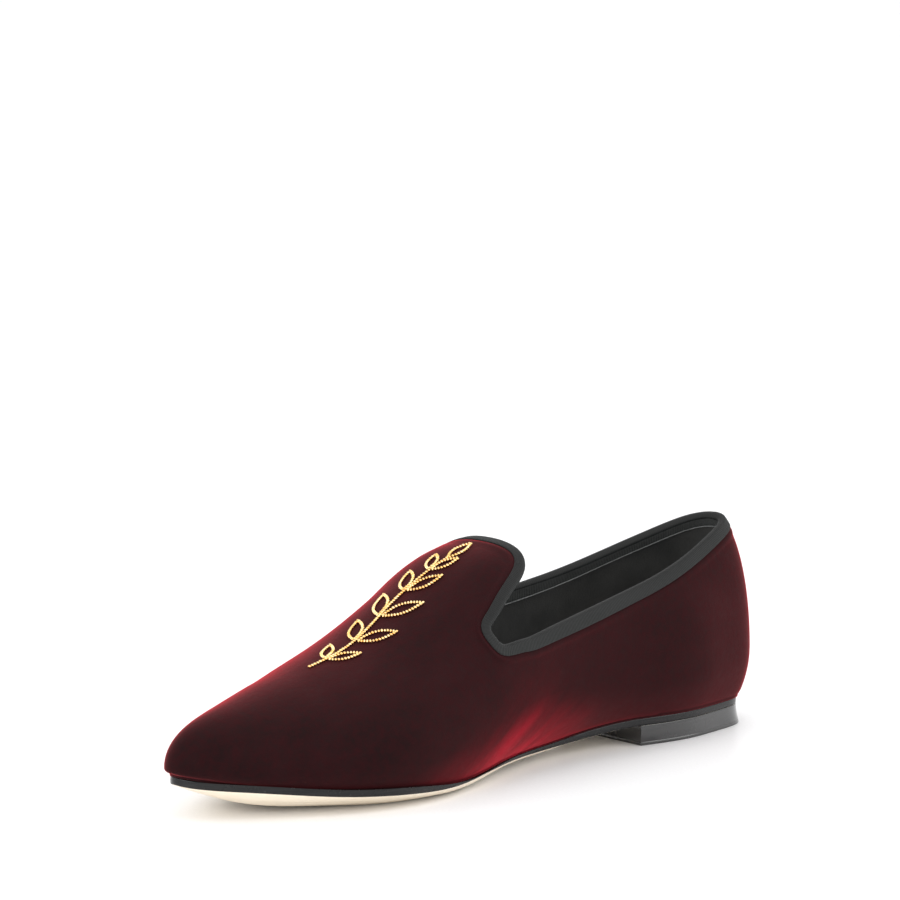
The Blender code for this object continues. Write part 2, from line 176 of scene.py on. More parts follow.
# How far the upper turns in from its widest line down to the sole, as shares of UNDERCUT
TURN_IN = table("station medial lateral", [
    (0, 0.30, 0.30),
    (0.15, 0.54, 0.34),
    (0.27, 0.87, 0.38),
    (0.42, 1.03, 0.46),
    (0.55, 0.62, 0.38),
    (0.68, 0.34, 0.29),
    (0.85, 0.27, 0.25),
    (1, 0.12, 0.12),
])

# Height of the black band on the sole's edge, as a share of SOLE_THICKNESS: the waist is bevelled below it
EDGE_BAND = table("station share", [
    (0.28, 1),
    (0.34, 0.90),
    (0.40, 0.60),
    (0.47, 0.42),
    (0.53, 0.22),
    (0.58, 0.12),
    (0.63, 0.40),
    (0.69, 0.85),
    (0.74, 1),
])

# How far the sole stands out from the upper's lower edge, as a share of SOLE_MARGIN.
# Where the share is negative the sole stays inside that edge.
SOLE_EDGE = table("station margin", [
    (0, -0.40),
    (0.25, -0.08),
    (0.42, 0.12),
    (0.60, 0.58),
    (0.80, 0.80),
    (0.93, 0.50),
    (1, -0.30),
])

# Height of the quarters' finished edge, as a share of BACK_HEIGHT
QUARTERS = table("station medial lateral", [
    (0, 1.025, 1.025),
    (0.06, 0.965, 0.965),
    (0.13, 0.884, 0.890),
    (0.24, 0.782, 0.785),
    (0.30, 0.745, 0.742),
    (0.37, 0.706, 0.692),
    (0.48, 0.648, 0.633),
    (0.55, 0.610, 0.604),
])

# Throat and tongue: share along the rib fan, station, and angle round the section from the widest line
THROAT = table("rib station angle", [
    (0.515, 0.508, 19.7),
    (0.540, 0.531, 22.3),
    (0.556, 0.543, 25.6),
    (0.571, 0.550, 30.5),
    (0.590, 0.5515, 33.8),
    (0.620, 0.541, 34.9),
    (0.670, 0.513, 37.3),
    (0.735, 0.481, 41.7),
    (0.790, 0.461, 48.0),
    (0.845, 0.451, 57.0),
    (0.920, 0.450, 71.0),
    (1.000, 0.453, 90.0),
])

# Ribs where the quarters' edge hands over to the throat's
HANDOVER = (0.37, 0.41, 0.45, 0.48)

# Width of the tape along the rib fan, as a share of TAPE_WIDTH: it narrows where it turns the throat's corner
TAPE = table("rib share", [
    (0, 0.80),
    (0.15, 0.90),
    (0.30, 0.98),
    (0.42, 0.96),
    (0.50, 0.82),
    (0.56, 0.72),
    (0.64, 0.75),
    (0.75, 0.79),
    (0.85, 0.80),
    (1, 0.80),
])

# Fineness of the pieces
SKIN_RIBS = 190
SKIN_ROWS = 50
SKIRT_ROWS = 12
SKIRT_CROWDING = 0.8
DOME_CROWDING = 1.35
LINING_RIBS = 90
LINING_ROWS = 30
PLATE_ROWS = 170
PLATE_COLUMNS = 56
HEEL_STEPS = 90
DOUBLES = 1e-7
SHARP_ANGLE = math.radians(50)

# Velvet skin and lining
SKIN_DEPTH = 0.8 * MM
SKIN_UNDER_TAPE = (TAPE_RISE + 2.0 * MM, TAPE_RISE + 0.3 * MM)
LINING_INSET = 1.4 * MM
LINING_DEPTH = 0.6 * MM
LINING_UNDER_TAPE = (TAPE_RISE + 1.0 * MM,)
SWELL = 0.40 * MM
SWELL_PLACE = 1.5 * MM
SWELL_WIDTH = 1.1 * MM
SEAM_DEPTH = 0.45 * MM
SEAM_WIDTH = 0.55 * MM
SEAM_STEP = 0.0009
SEAM_RIBS = 5
SEAM_FADE = 4 * MM
SEAM_SIDE = 0.05
TUCK_DEPTH = 0.35 * MM
TUCK_WIDTH = 1.3 * MM
FOOT_DROP = GAP + 0.1 * MM

# Tape
TAPE_PROUD = 0.62 * MM
TAPE_INNER_REACH = 0.55 * MM
TAPE_RIB_PITCH = 0.72 * MM
TAPE_RIB_HEIGHT = 0.07 * MM
TAPE_LEG = (0.2, 0.45, 0.7, 0.93, 1.0)
STEPS_PER_TAPE_RIB = 4
EDGE_CORD_RADIUS = 0.26 * MM
EDGE_CORD_STEPS = 720
EDGE_CORD_TWIST = 0.18

# Painted red glow over the medial arch, in the velvet's base colour: limits along, up and across the shoe
# where it fades in or out
ARCH_GLOW_BACK = (-54 * MM, -86 * MM)
ARCH_GLOW_FRONT = (-158 * MM, -108 * MM)
ARCH_GLOW_TOP = (44 * MM, 22 * MM)
ARCH_GLOW_SIDE = (0.0, 12 * MM)
STREAK_TURN = (math.radians(-40), 0.0, 0.0)

# Crown of the padded insole, how far in the bevel of the waist reaches, and the flare of the heel's back
PAD_CROWN = 0.5 * MM
BEVEL_REACH = 4.5 * MM
HEEL_FLARE = 1.2 * MM

# Beaded sprig on the vamp
SPRIG_STATION = 0.655
SPRIG_LENGTH = 76 * MM
SPRIG_SWAY = 2.2 * MM
SPRIG_STALK = 1.6 * MM
SPRIG_REACH = 30 * MM
TIP_LEAF = (11 * MM, 4.6 * MM)
BEAD_SIZE = 1.25 * MM
BEAD_STEP = 1.12 * MM
BEAD_FLAT = 0.78
BEAD_TILT = math.radians(24)
BEAD_SWING = 0.08
BEAD_RANGE = (0.93, 1.05)
PILE_LIFT = 0.15 * MM

# Pairs of leaves: share along the stem, length and width in millimetres, and spread in degrees
SPRIG_LEAVES = [
    (0.16, 11.0, 4.0, 38),
    (0.34, 14.0, 5.0, 40),
    (0.53, 15.0, 5.2, 38),
    (0.72, 13.0, 4.8, 34),
    (0.88, 10.0, 4.0, 30),
]

# Camera, fitted to the photograph: where it stands, and the pixel on which its target falls
IMAGE_SIZE = 900
CAMERA_AZIMUTH = math.radians(48.47)
CAMERA_ELEVATION = math.radians(11.55)
CAMERA_DISTANCE = 1724.8 * MM
CAMERA_TARGET = (0.0, -89 * MM, 30 * MM)
TARGET_PIXEL = (482.9, 676.4)
PIXELS_PER_MM = 2.89
SENSOR_WIDTH = 36.0

# Studio
WORLD_STRENGTH = 1.12
FLOOR_SIZE = 14.0


def spline(xs, ys, at):
    """Natural cubic spline through the points, read at the given places."""
    count = len(xs)
    step = np.diff(xs)
    slope = np.diff(ys) / step
    matrix = np.eye(count)
    right = np.zeros(count)
    for row in range(1, count - 1):
        matrix[row, row - 1] = step[row - 1]
        matrix[row, row] = 2 * (step[row - 1] + step[row])
        matrix[row, row + 1] = step[row]
        right[row] = 6 * (slope[row] - slope[row - 1])
    bend = np.linalg.solve(matrix, right)
    at = np.clip(np.asarray(at, float), xs[0], xs[-1])
    left = np.clip(np.searchsorted(xs, at) - 1, 0, count - 2)
    after = at - xs[left]
    before = xs[left + 1] - at
    width = step[left]
    cubic = (bend[left] * before ** 3 + bend[left + 1] * after ** 3) / (6 * width)
    start = ys[left] / width - bend[left] * width / 6
    end = ys[left + 1] / width - bend[left + 1] * width / 6
    return cubic + start * before + end * after


def read(rows, name, station):
    return spline(rows["station"], rows[name], station)


def round_ended(station):
    """Half-circle factor, 0 at both ends and 1 in the middle, that rounds the ends of a profile."""
    return np.sqrt(np.clip(4 * station * (1 - station), 0, None))


def round_ended_spline(stations, values, back_radius, front_radius, at):
    """Profile through the values that ends in the two radii."""
    inside = values / round_ended(stations)
    back = math.sqrt(back_radius * LENGTH / 2)
    front = math.sqrt(front_radius * LENGTH / 2)
    knots = np.r_[0, stations, 1]
    return round_ended(at) * spline(knots, np.r_[back, inside, front], at)


def column(side):
    """Name of a table's column for one side, +1 medial or -1 lateral."""
    return "medial" if side > 0 else "lateral"


def half_width(side, station):
    """Half-width of the widest outline on one side."""
    widths = PLAN[column(side)] * BALL_WIDTH
    return round_ended_spline(PLAN["station"], widths, BACK_RADIUS, TOE_RADIUS, station)


def centre_line(station):
    """The middle of the shoe swings a little towards the big toe, ahead of the waist."""
    return TOE_SWING * np.clip(2 * station - 1, 0, None) ** 2


def along(station):
    return HEEL_CENTRE - station * LENGTH


def station_of(y):
    return (HEEL_CENTRE - y) / LENGTH


def across(x, station):
    """Place across the shoe: 0 on the centre line, +1 and -1 on the medial and lateral outline."""
    offset = x - centre_line(station)
    reach = np.where(offset > 0, half_width(1, station), half_width(-1, station))
    return np.clip(offset / np.maximum(reach, MM), -1, 1)


def tread_middle(station):
    return HEEL_HEIGHT * read(TREAD, "heel", station) + TOE_SPRING * read(TREAD, "spring", station)


def edge_lift(station, medial):
    """Lift of the sole's edge, with the arch where medial is true."""
    lift = SOLE_ROUND * read(EDGE_LIFT, "round", station)
    return lift + ARCH_RISE * read(EDGE_LIFT, "arch", station) * medial


def tread_height(x, station):
    """Underside of the outsole above the floor."""
    place = across(x, station)
    edge = np.clip((abs(place) - FLAT_SHARE) / (1 - FLAT_SHARE), 0, None) ** 2
    return np.maximum(0, tread_middle(station) + edge_lift(station, place > 0) * edge)


def widest_height(side, station):
    """Height of the widest line of the upper."""
    lift = MEAN_EDGE * edge_lift(station, side > 0)
    belly = BELLY_HEIGHT * read(BELLY, "height", station)
    return np.maximum(0, tread_middle(station)) + lift + SOLE_THICKNESS + belly


def last_height(x, station):
    """Top of the closed last: a dome over each station, between the two widest lines."""
    place = across(x, station)
    medial = widest_height(1, station)
    lateral = widest_height(-1, station)
    knots = RIDGE["station"][:-1]
    knot_middle = (widest_height(1, knots) + widest_height(-1, knots)) / 2
    rise = INSTEP_HEIGHT * RIDGE["height"][:-1] - knot_middle
    dome = round_ended_spline(knots, rise, BACK_CURVE_RADIUS, NOSE_RADIUS, station)
    circle = np.sqrt(1 - place ** 2)
    boxy = read(RIDGE, "boxy", station)
    section = (1 + boxy) * circle - boxy * circle ** 2
    return (medial + lateral) / 2 + (medial - lateral) / 2 * place + dome * section


def outline(side, share):
    """Point and outward direction on the widest outline, at a share of its arc from back to toe."""
    stations = (1 - np.cos(np.pi * np.linspace(0, 1, OUTLINE_STEPS + 1))) / 2
    x = centre_line(stations) + side * half_width(side, stations)
    y = along(stations)
    arc = np.r_[0, np.cumsum(np.hypot(np.diff(x), np.diff(y)))]
    arc = arc / arc[-1]
    run_x = np.interp(share, arc, np.gradient(x, arc))
    run_y = np.interp(share, arc, np.gradient(y, arc))
    at_end = (share <= 0) | (share >= 1)
    run_x = np.where(at_end, side * np.where(share <= 0, 1, -1), run_x)
    run_y = np.where(at_end, 0, run_y)
    size = np.hypot(run_x, run_y)
    point = np.stack([np.interp(share, arc, x), np.interp(share, arc, y)], -1)
    return point, np.stack([-run_y, run_x], -1) * (side / size)[..., None]


def turned_in(side, share, less=0.0):
    """Plan point of the upper's lower edge, or of an outline that lies outside it by the given length."""
    point, outward = outline(side, share)
    inset = UNDERCUT * read(TURN_IN, column(side), station_of(point[..., 1])) - less
    return point - outward * inset[..., None]


def quarters_topline(side, share):
    """Where each rib's inward path meets the height of the quarters' edge."""
    point, outward = outline(side, share)
    near = np.zeros_like(share)
    far = np.full_like(share, half_width(-1, 0.1))
    for _ in range(HALVINGS):
        depth = (near + far) / 2
        place = point - outward * depth[..., None]
        station = station_of(place[..., 1])
        below = last_height(place[..., 0], station) < BACK_HEIGHT * read(QUARTERS, column(side), station)
        near = np.where(below, depth, near)
        far = np.where(below, far, depth)
    return place


def topline(side, share):
    """Plan point of the finished edge at a rib: quarters, then the throat's corner, then the tongue."""
    share = np.asarray(share, float)
    handover = np.array(HANDOVER)
    rear = quarters_topline(side, np.minimum(share, handover[-1]))
    joined = quarters_topline(side, handover)
    joined_station = station_of(joined[:, 1])
    throat = np.cos(np.radians(THROAT["angle"])) * half_width(side, THROAT["station"])
    beyond = slice(-2, -5, -1)
    ribs = np.r_[handover, THROAT["rib"], 2 - THROAT["rib"][beyond]]
    stations = np.r_[joined_station, THROAT["station"], THROAT["station"][beyond]]
    offsets = np.r_[side * (joined[:, 0] - centre_line(joined_station)), throat, -throat[beyond]]
    station = spline(ribs, stations, share)
    x = centre_line(station) + side * spline(ribs, offsets, share)
    front = np.stack([x, along(station)], -1)
    blend = np.clip((share - handover[0]) / (handover[-1] - handover[0]), 0, 1)
    blend = (blend ** 2 * (3 - 2 * blend))[..., None]
    return rear * (1 - blend) + front * blend


def on_side(turn, read_side):
    """A reading of both sides, as one loop.

    Turns run from 0 at the back, over 1 at the toe, to 2 at the back again.
    """
    turn = np.mod(turn, 2)
    medial = read_side(1, np.minimum(turn, 1))
    lateral = read_side(-1, np.minimum(2 - turn, 1))
    return np.where((turn <= 1)[..., None], medial, lateral)


def lifted(plan):
    """Plan points raised onto the closed last."""
    return np.concatenate([plan, last_height(plan[..., 0], station_of(plan[..., 1]))[..., None]], -1)


def unit(vectors):
    return vectors / np.linalg.norm(vectors, axis=-1, keepdims=True)


def path_arc(path):
    """Length along a path from its start to each of its points."""
    return np.r_[0, np.cumsum(np.linalg.norm(np.diff(path, axis=0), axis=1))]


def dome_normal(plan, step):
    """Way out of the closed last over a plan point, from steps to all sides."""
    side_step = np.array([step, 0])
    front_step = np.array([0, step])
    slope_x = lifted(plan + side_step) - lifted(plan - side_step)
    slope_y = lifted(plan + front_step) - lifted(plan - front_step)
    return unit(np.cross(slope_x, slope_y))


def edge_frame(turn):
    """At the finished edge: the point, the way down the wall, and the way out of it."""
    step = 1e-3
    top = lifted(on_side(turn, topline))
    run = unit(lifted(on_side(turn + step, topline)) - lifted(on_side(turn - step, topline)))
    out = dome_normal(top[..., :2], 0.05 * MM)
    return top, unit(np.cross(out, run)), out


def below_topline(turn, depth):
    """Point on the outside of the upper, straight down the wall from the finished edge."""
    top, down, out = edge_frame(turn)
    flat = top + down * np.broadcast_to(depth, np.shape(turn))[..., None]
    inside = np.full(flat.shape[:-1], -3 * MM)
    outside = -inside
    for _ in range(HALVINGS):
        shift = (inside + outside) / 2
        place = flat + out * shift[..., None]
        under = place[..., 2] < last_height(place[..., 0], station_of(place[..., 1]))
        inside = np.where(under, shift, inside)
        outside = np.where(under, outside, shift)
    return flat + out * shift[..., None]


def tape_width(turn):
    fold = np.mod(turn, 2)
    return TAPE_WIDTH * spline(TAPE["rib"], TAPE["share"], np.minimum(fold, 2 - fold))


def dome_plan(turn, level):
    """Plan of the ribs, from the widest outline to the tape's lower edge, which they meet square to it."""
    start = on_side(turn, lambda side, share: outline(side, share)[0])
    end = below_topline(turn, tape_width(turn))[..., :2]
    down = edge_frame(turn)[1][..., :2]
    reach = np.linalg.norm(end - start, axis=-1, keepdims=True)
    leave = (2 * start + end) / 3
    arrive = end + down * np.minimum(reach * SQUARE_SHARE, SQUARE_REACH)
    share = np.clip(level, 0, 1)[..., None] ** 2
    rest = 1 - share
    handles = 3 * rest ** 2 * share * leave + 3 * rest * share ** 2 * arrive
    return rest ** 3 * start + handles + share ** 3 * end


def surface(turn, level):
    """Outside of the upper: level -1 is its lower edge, 0 its widest line and 1 the tape's lower edge."""
    level = np.asarray(level, float)
    dome = lifted(dome_plan(turn, level))
    point = on_side(turn, lambda side, share: outline(side, share)[0])
    low = on_side(turn, turned_in)
    drop = np.where(level < 0, level, 0) ** 2
    widest = lifted(point)
    foot = tread_height(low[..., 0], station_of(low[..., 1])) + SOLE_THICKNESS + GAP
    skirt_plan = point + (low - point) * drop[..., None]
    skirt_height = widest[..., 2] + (widest[..., 2] - foot) * level
    skirt = np.concatenate([skirt_plan, skirt_height[..., None]], -1)
    return np.where((level < 0)[..., None], skirt, dome)


def bends(path):
    """How far a path has turned at each of its points, as a share of all its turning."""
    heading = unit(np.diff(path, axis=0))
    turned = np.arccos(np.clip(np.sum(heading[1:] * heading[:-1], -1), -1, 1))
    total = np.r_[0, 0, np.cumsum(turned)]
    return np.r_[total[:-1], total[-1]][:len(path)] / total[-1]


def rib_turns(ribs):
    """Turns of the ribs, closer together where the outline or the finished edge bends."""
    fine = np.linspace(0, 1, RIB_SAMPLES + 1)
    along_both = fine + bends(outline(1, fine)[0]) + bends(lifted(topline(1, fine)))
    half = np.interp(np.arange(ribs) / ribs, along_both / along_both[-1], fine)
    return np.r_[half, 1, 2 - half[:0:-1]]


def grid_faces(rows, columns, closed_rows, closed_columns):
    """Quads of a grid of points, numbered row by row."""
    faces = []
    for row in range(rows if closed_rows else rows - 1):
        for column in range(columns if closed_columns else columns - 1):
            next_row = (row + 1) % rows
            next_column = (column + 1) % columns
            corners = (row, column), (row, next_column), (next_row, next_column), (next_row, column)
            faces.append(tuple(at * columns + over for at, over in corners))
    return faces


def added(name, data):
    """New object in the scene."""
    obj = bpy.data.objects.new(name, data)
    bpy.context.scene.collection.objects.link(obj)
    return obj


def mesh_piece(name, points, faces, materials, face_materials=None):
    """Smooth mesh that faces outward, with its doubled points joined."""
    mesh = bpy.data.meshes.new(name)
    mesh.from_pydata(np.asarray(points).reshape(-1, 3).tolist(), [], faces)
    for made_of in materials:
        mesh.materials.append(made_of)
    if face_materials is not None:
        mesh.polygons.foreach_set("material_index", np.asarray(face_materials, np.int32))
    work = bmesh.new()
    work.from_mesh(mesh)
    bmesh.ops.remove_doubles(work, verts=work.verts, dist=DOUBLES)
    bmesh.ops.recalc_face_normals(work, faces=work.faces)
    work.to_mesh(mesh)
    work.free()
    mesh.shade_smooth()
    mesh.set_sharp_from_angle(angle=SHARP_ANGLE)
    return added(name, mesh)


def thickened(obj, depth):
    """Gives a sheet its depth, inwards from the face that it was built on."""
    wall = obj.modifiers.new("depth", "SOLIDIFY")
    wall.thickness = depth
    wall.offset = -1
    return obj


# Materials


class Surface:
    """A node material round one Principled shader, with its texture nodes placed in metres."""

    def __init__(self, name, **values):
        self.material = bpy.data.materials.new(name)
        self.material.use_nodes = True
        self.tree = self.material.node_tree
        self.shader = self.tree.nodes["Principled BSDF"]
        self.place = self.tree.nodes.new("ShaderNodeTexCoord").outputs["Object"]
        self.normal = None
        for socket, value in values.items():
            self.shader.inputs[socket.replace("_", " ")].default_value = value

    def node(self, kind, inputs=None, **settings):
        made = self.tree.nodes.new(kind)
        for key, value in settings.items():
            setattr(made, key, value)
        for socket, value in (inputs or {}).items():
            if isinstance(value, bpy.types.NodeSocket):
                self.tree.links.new(value, made.inputs[socket])
            else:
                made.inputs[socket].default_value = value
        return made

    def stretched(self, scale, place=None):
        """Places of the texture, drawn out differently along the three axes."""
        inputs = {"Vector": place or self.place, "Scale": scale}
        return self.node("ShaderNodeMapping", inputs).outputs["Vector"]

    def noise(self, scale, detail=3.0, roughness=0.55, place=None):
        inputs = {"Vector": place or self.place, "Scale": scale, "Detail": detail, "Roughness": roughness}
        return self.node("ShaderNodeTexNoise", inputs).outputs["Fac"]

    def cells(self, scale, output="Distance"):
        return self.node("ShaderNodeTexVoronoi", {"Vector": self.place, "Scale": scale}).outputs[output]

    def ranged(self, value, low, high, to_low=0.0, to_high=1.0):
        inputs = {"Value": value, "From Min": low, "From Max": high, "To Min": to_low, "To Max": to_high}
        return self.node("ShaderNodeMapRange", inputs, clamp=True).outputs["Result"]

    def mixed(self, share, first, second):
        made = self.node("ShaderNodeMix", data_type="RGBA", clamp_factor=True)
        for name, value in (("Factor_Float", share), ("A_Color", first), ("B_Color", second)):
            socket = next(item for item in made.inputs if item.identifier == name)
            if isinstance(value, bpy.types.NodeSocket):
                self.tree.links.new(value, socket)
            else:
                socket.default_value = value if name == "Factor_Float" else colour(*value)
        return next(item for item in made.outputs if item.identifier == "Result_Color")

    def combined(self, first, second, operation="MULTIPLY"):
        return self.node("ShaderNodeMath", {0: first, 1: second}, operation=operation).outputs["Value"]

    def link(self, output, socket):
        self.tree.links.new(output, self.shader.inputs[socket])

    def specular(self, level):
        self.shader.inputs["Specular IOR Level"].default_value = level

    def tint(self, share, first, second):
        """Base colour between two others."""
        self.link(self.mixed(share, first, second), "Base Color")

    def rough(self, value, low, high, to_low, to_high):
        self.link(self.ranged(value, low, high, to_low, to_high), "Roughness")

    def bump(self, height, depth, strength=1.0):
        """Adds relief of a depth in metres, on top of any relief already there."""
        inputs = {"Height": height, "Distance": depth, "Strength": strength}
        if self.normal is not None:
            inputs["Normal"] = self.normal
        self.normal = self.node("ShaderNodeBump", inputs).outputs["Normal"]
        self.link(self.normal, "Normal")


def colour(red, green, blue):
    return (red, green, blue, 1.0)


def velvet_material():
    """Deep burgundy pile, with painted sheen in its base colour: redder where it turns from the viewer, and a
    painted red glow over the arch.
    """
    cloth = Surface("velvet", Roughness=0.85, Sheen_Weight=0.40, Sheen_Roughness=0.40,
                    Sheen_Tint=colour(0.80, 0.11, 0.13))
    cloth.specular(0.10)
    brushed = cloth.noise(1.0, 4.0, 0.6, cloth.stretched((95.0, 34.0, 55.0)))
    mottled = cloth.noise(420.0, 3.0, 0.6)
    pile = cloth.noise(2600.0, 2.0, 0.7)
    deep = cloth.mixed(cloth.ranged(brushed, 0.36, 0.66), (0.0073, 0.0017, 0.0021),
                       (0.0140, 0.0027, 0.0034))
    speckled = cloth.mixed(cloth.ranged(mottled, 0.35, 0.7, 0.0, 0.5), deep, (0.024, 0.0040, 0.0052))
    # Painted sheen: the base colour turns red at the rim, where the cloth turns from the viewer
    grazing = cloth.node("ShaderNodeLayerWeight", {"Blend": 0.5}).outputs["Facing"]
    rim = cloth.combined(cloth.ranged(grazing, 0.66, 1.0), 2.4, "POWER")
    turned = cloth.ranged(grazing, 0.36, 0.80)
    # Painted glow over the medial arch: red in the base colour, streaked, and stronger where the cloth turns
    # from the viewer
    turn = {"Vector": cloth.place, "Rotation": STREAK_TURN}
    swept = cloth.node("ShaderNodeMapping", turn).outputs["Vector"]
    swept = cloth.stretched((30.0, 22.0, 150.0), swept)
    glow_streaks = cloth.ranged(cloth.noise(1.0, 3.0, 0.55, swept), 0.32, 0.68, 0.25, 1.0)
    axes = cloth.node("ShaderNodeSeparateXYZ", {"Vector": cloth.place}).outputs
    behind = cloth.ranged(axes["Y"], *ARCH_GLOW_BACK)
    ahead = cloth.ranged(axes["Y"], *ARCH_GLOW_FRONT)
    low_down = cloth.ranged(axes["Z"], *ARCH_GLOW_TOP)
    medial = cloth.ranged(axes["X"], *ARCH_GLOW_SIDE)
    arch = turned
    for limit in (glow_streaks, behind, ahead, low_down, medial):
        arch = cloth.combined(arch, limit)
    # The painted rim sheen and then the painted arch glow go into the base colour
    rim_sheen_painted = cloth.mixed(rim, speckled, (0.50, 0.003, 0.015))
    cloth.tint(arch, rim_sheen_painted, (0.40, 0.005, 0.020))
    cloth.rough(mottled, 0.3, 0.7, 0.78, 0.95)
    cloth.bump(brushed, 0.25 * MM, 0.5)
    cloth.bump(mottled, 0.10 * MM, 0.6)
    cloth.bump(pile, 0.06 * MM, 0.8)
    return cloth.material


def lining_material():
    """Soft black lining with a fine grain."""
    skin = Surface("lining_skin", Roughness=0.5)
    skin.specular(0.35)
    grain = skin.cells(1500.0)
    clouds = skin.noise(60.0, 3.0)
    skin.tint(skin.ranged(clouds, 0.3, 0.7), (0.042, 0.043, 0.042), (0.070, 0.070, 0.067))
    skin.rough(skin.noise(900.0), 0.3, 0.7, 0.42, 0.62)
    skin.bump(grain, 0.06 * MM, 0.6)
    skin.bump(clouds, 0.3 * MM, 0.35)
    return skin.material


def tape_material(name, light, dark):
    """Charcoal ribbed tape: satin, with painted shade that makes it darker where it faces up, and a little
    worn to grey on its ribs.
    """
    ribbon = Surface(name, Roughness=0.5, Sheen_Weight=0.10, Sheen_Roughness=0.4,
                     Sheen_Tint=colour(0.75, 0.78, 0.78))
    ribbon.specular(0.25)
    threads = ribbon.noise(2200.0, 2.0, 0.6)
    patches = ribbon.noise(45.0, 3.0)
    # Painted shade: the base colour darkens towards near black where the tape faces up
    facing = ribbon.node("ShaderNodeNewGeometry").outputs["Normal"]
    faces_up_painted_shade = ribbon.node("ShaderNodeSeparateXYZ", {"Vector": facing}).outputs["Z"]
    worn = ribbon.mixed(ribbon.ranged(patches, 0.3, 0.7), dark, light)
    rubbed = ribbon.mixed(ribbon.ranged(threads, 0.4, 0.75, 0.0, 0.5), worn, (0.026, 0.028, 0.027))
    ribbon.tint(ribbon.ranged(faces_up_painted_shade, 0.1, 0.8, 0.0, 0.95), rubbed, (0.0025, 0.0026, 0.0026))
    ribbon.rough(threads, 0.3, 0.7, 0.45, 0.65)
    ribbon.bump(threads, 0.05 * MM, 0.7)
    return ribbon.material


def thread_material():
    """Pale grey twisted thread."""
    thread = Surface("edge_thread", Roughness=0.55, Sheen_Weight=0.2)
    twist = thread.noise(1800.0, 2.0)
    thread.tint(thread.ranged(twist, 0.3, 0.7), (0.10, 0.105, 0.105), (0.24, 0.245, 0.245))
    thread.bump(twist, 0.08 * MM, 0.8)
    return thread.material


def insole_material():
    """Black sock leather, softly polished where the foot rubs it."""
    leather = Surface("insole_leather_top", Roughness=0.5)
    pores = leather.cells(1100.0)
    rubbed = leather.noise(28.0, 3.0)
    leather.tint(leather.ranged(rubbed, 0.3, 0.7), (0.034, 0.034, 0.034), (0.056, 0.054, 0.053))
    leather.rough(rubbed, 0.3, 0.7, 0.55, 0.38)
    leather.bump(pores, 0.08 * MM, 0.5)
    return leather.material


def edge_material():
    """Black lacquer over the cut edge of the leather: glossy, with faint lines along it."""
    lacquer = Surface("sole_edge_lacquer", Roughness=0.25)
    lacquer.specular(0.28)
    lines = lacquer.noise(1.0, 3.0, 0.6, lacquer.stretched((60.0, 60.0, 1400.0)))
    dulled = lacquer.noise(240.0, 3.0)
    lacquer.tint(lacquer.ranged(lines, 0.35, 0.7), (0.006, 0.006, 0.0065), (0.016, 0.0155, 0.0155))
    lacquer.rough(dulled, 0.3, 0.75, 0.16, 0.36)
    lacquer.bump(lines, 0.05 * MM, 0.5)
    return lacquer.material


def sole_material():
    """Pale vegetable-tanned leather with fine fibres, pores and a few faint scuffs."""
    leather = Surface("sole_leather_under", Roughness=0.5)
    fibres = leather.noise(1.0, 4.0, 0.65, leather.stretched((700.0, 150.0, 300.0)))
    clouds = leather.noise(26.0, 4.0)
    pores = leather.cells(1300.0)
    scuffs = leather.noise(1.0, 5.0, 0.7, leather.stretched((240.0, 30.0, 100.0)))
    pale = leather.mixed(leather.ranged(clouds, 0.3, 0.7), (0.93, 0.83, 0.68), (0.89, 0.78, 0.62))
    fine = leather.mixed(leather.ranged(fibres, 0.45, 0.8, 0.0, 0.2), pale, (0.74, 0.61, 0.46))
    leather.tint(leather.ranged(scuffs, 0.66, 0.85, 0.0, 0.25), fine, (0.62, 0.49, 0.36))
    leather.rough(fibres, 0.3, 0.7, 0.36, 0.56)
    leather.bump(fibres, 0.04 * MM, 0.4)
    leather.bump(pores, 0.03 * MM, 0.4)
    return leather.material


def heel_material():
    """Polished black heel stack, its layers just visible."""
    stack = Surface("heel_block_polish", Roughness=0.25, Coat_Weight=0.6, Coat_Roughness=0.15)
    layers = stack.noise(1.0, 1.0, 0.5, stack.stretched((3.0, 3.0, 500.0)))
    dulled = stack.noise(120.0, 3.0)
    stack.tint(stack.ranged(layers, 0.4, 0.7), (0.008, 0.008, 0.0085), (0.022, 0.0215, 0.0215))
    stack.rough(dulled, 0.35, 0.75, 0.15, 0.34)
    stack.bump(layers, 0.03 * MM, 0.3)
    return stack.material


def lift_material():
    """Dense black rubber of the top piece under the heel."""
    rubber = Surface("top_piece_rubber", Roughness=0.6)
    grain = rubber.noise(1600.0, 3.0)
    worn = rubber.noise(70.0, 4.0)
    rubber.tint(rubber.ranged(worn, 0.35, 0.7), (0.012, 0.012, 0.0125), (0.030, 0.029, 0.029))
    rubber.rough(worn, 0.3, 0.7, 0.5, 0.72)
    rubber.bump(grain, 0.05 * MM, 0.6)
    return rubber.material


def gold_material():
    """Gilt glass beads: bright gold that differs a little from bead to bead."""
    gilt = Surface("gilt_beads", Metallic=1.0, Roughness=0.22)
    by_bead = gilt.cells(640.0, output="Color")
    shade = gilt.node("ShaderNodeSeparateColor", {"Color": by_bead}).outputs["Red"]
    tarnish = gilt.noise(500.0, 2.0)
    warm = gilt.mixed(gilt.ranged(shade, 0.15, 0.85), (0.93, 0.58, 0.20), (1.0, 0.78, 0.42))
    gilt.tint(gilt.ranged(tarnish, 0.5, 0.8, 0.0, 0.5), warm, (0.55, 0.29, 0.08))
    gilt.rough(tarnish, 0.3, 0.7, 0.16, 0.34)
    return gilt.material


# Upper


def outward(points):
    """Outward directions over a grid of ribs by rows, closed round the shoe."""
    round_step = np.roll(points, -1, 0) - np.roll(points, 1, 0)
    up_step = np.gradient(points, axis=1)
    return unit(np.cross(up_step, round_step))


def skin_turns():
    """Ribs of the velvet, with narrow ones on both sides of the back seam."""
    turns = rib_turns(SKIN_RIBS)
    seam = np.arange(1, SEAM_RIBS + 1) * SEAM_STEP
    clear = np.minimum(turns, 2 - turns) > seam[-1] * 1.15
    return np.sort(np.r_[0, turns[clear], seam, 2 - seam])


